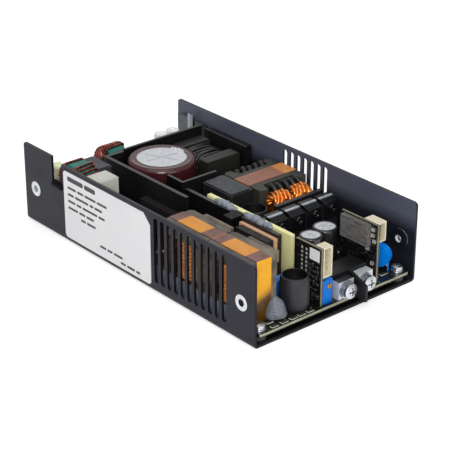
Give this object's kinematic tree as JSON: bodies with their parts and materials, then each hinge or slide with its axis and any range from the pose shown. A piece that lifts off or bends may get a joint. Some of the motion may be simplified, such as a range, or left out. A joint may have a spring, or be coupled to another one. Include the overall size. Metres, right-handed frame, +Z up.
{
  "type": "open U-channel power supply",
  "caption": "Open-frame switching power supply in a vented black U-channel with ring chokes, bulk capacitor, transformer and screw terminals.",
  "frame": {"origin": "under the middle of the channel's base, on its outer face", "axes": "+X along the channel to the output end, -Y to the label wall, +Z up out of the open top"},
  "size_m": [0.1839, 0.1017, 0.0429],
  "materials": {
    "black_steel": "satin",
    "zinc_steel": "satin",
    "spring_steel": "polished",
    "label_film": "satin",
    "black_film": "satin",
    "board_laminate": "satin",
    "white_nylon": "matte",
    "ivory_nylon": "matte",
    "tinned_brass": "polished",
    "fuse_ceramic": "gloss",
    "yellow_box": "satin",
    "grey_box": "satin",
    "teal_core": "satin",
    "copper_wire": "gloss",
    "copper_litz": "satin",
    "black_wire": "satin",
    "black_plastic": "satin",
    "black_aluminium": "anodised",
    "bare_aluminium": "satin",
    "maroon_sleeve": "gloss",
    "black_sleeve": "gloss",
    "shrink_sleeve": "satin",
    "ferrite": "matte",
    "brown_tape": "gloss",
    "orange_tape": "gloss",
    "yellow_laminate": "satin",
    "beige_pad": "matte",
    "grey_pad": "matte",
    "grey_potting": "matte",
    "blue_plastic": "gloss",
    "brass": "satin"
  },
  "bodies": {
    "supply": {"channel": "black_steel", "side_nuts": "zinc_steel", "rating_label": "label_film", "insulating_film": "black_film", "board_standoffs": "zinc_steel", "main_board": "board_laminate", "board_screws": "zinc_steel", "inlet_header": "white_nylon", "inlet_pins": "tinned_brass", "line_fuses": "fuse_ceramic", "line_capacitor": "yellow_box", "filter_capacitor": "grey_box", "relay": "grey_potting", "near_choke_core": "teal_core", "near_choke_winding": "copper_wire", "near_choke_cradle": "black_plastic", "rear_choke_core": "teal_core", "rear_choke_winding": "copper_wire", "rear_choke_cradle": "black_plastic", "left_cooling_plate": "black_aluminium", "bridge_rectifier": "black_plastic", "rear_partition": "black_film", "far_cooling_bar": "black_aluminium", "boost_transistors": "black_plastic", "bulk_capacitor_can": "bare_aluminium", "bulk_capacitor_sleeve": "maroon_sleeve", "boost_choke_core": "ferrite", "boost_choke_winding": "black_wire", "divider_plate": "black_film", "resonant_choke": "grey_potting", "transformer_core": "ferrite", "transformer_bobbin": "black_plastic", "transformer_winding": "copper_litz", "transformer_tape": "brown_tape", "bridge_cooling_plate": "black_aluminium", "isolation_board": "yellow_laminate", "insulating_pad": "beige_pad", "bridge_module": "black_plastic", "hold_clip": "black_plastic", "taped_cores": "ferrite", "taped_coils": "copper_litz", "taped_bands": "orange_tape", "rectifier_cooling_plate": "black_aluminium", "rectifier_transistors": "black_plastic", "rectifier_clips": "spring_steel", "output_capacitor_cans": "bare_aluminium", "output_capacitor_sleeves": "black_sleeve", "drum_chokes": "shrink_sleeve", "control_board": "board_laminate", "control_header": "ivory_nylon", "trimmer_body": "blue_plastic", "auxiliary_board": "board_laminate", "gap_pad": "grey_pad", "auxiliary_header": "ivory_nylon", "terminal_carrier": "black_plastic", "terminal_blocks": "zinc_steel", "terminal_screws": "zinc_steel", "suppressor_capacitors": "blue_plastic"},
    "adjuster": {"trimmer_screw": "brass"}
  },
  "joints": [
    {"name": "output_adjust", "type": "hinge", "parent": "supply", "child": "adjuster", "pos_m": [0.086, -0.00314, 0.01441], "axis": [1, 0, 0], "continuous": true}
  ]
}
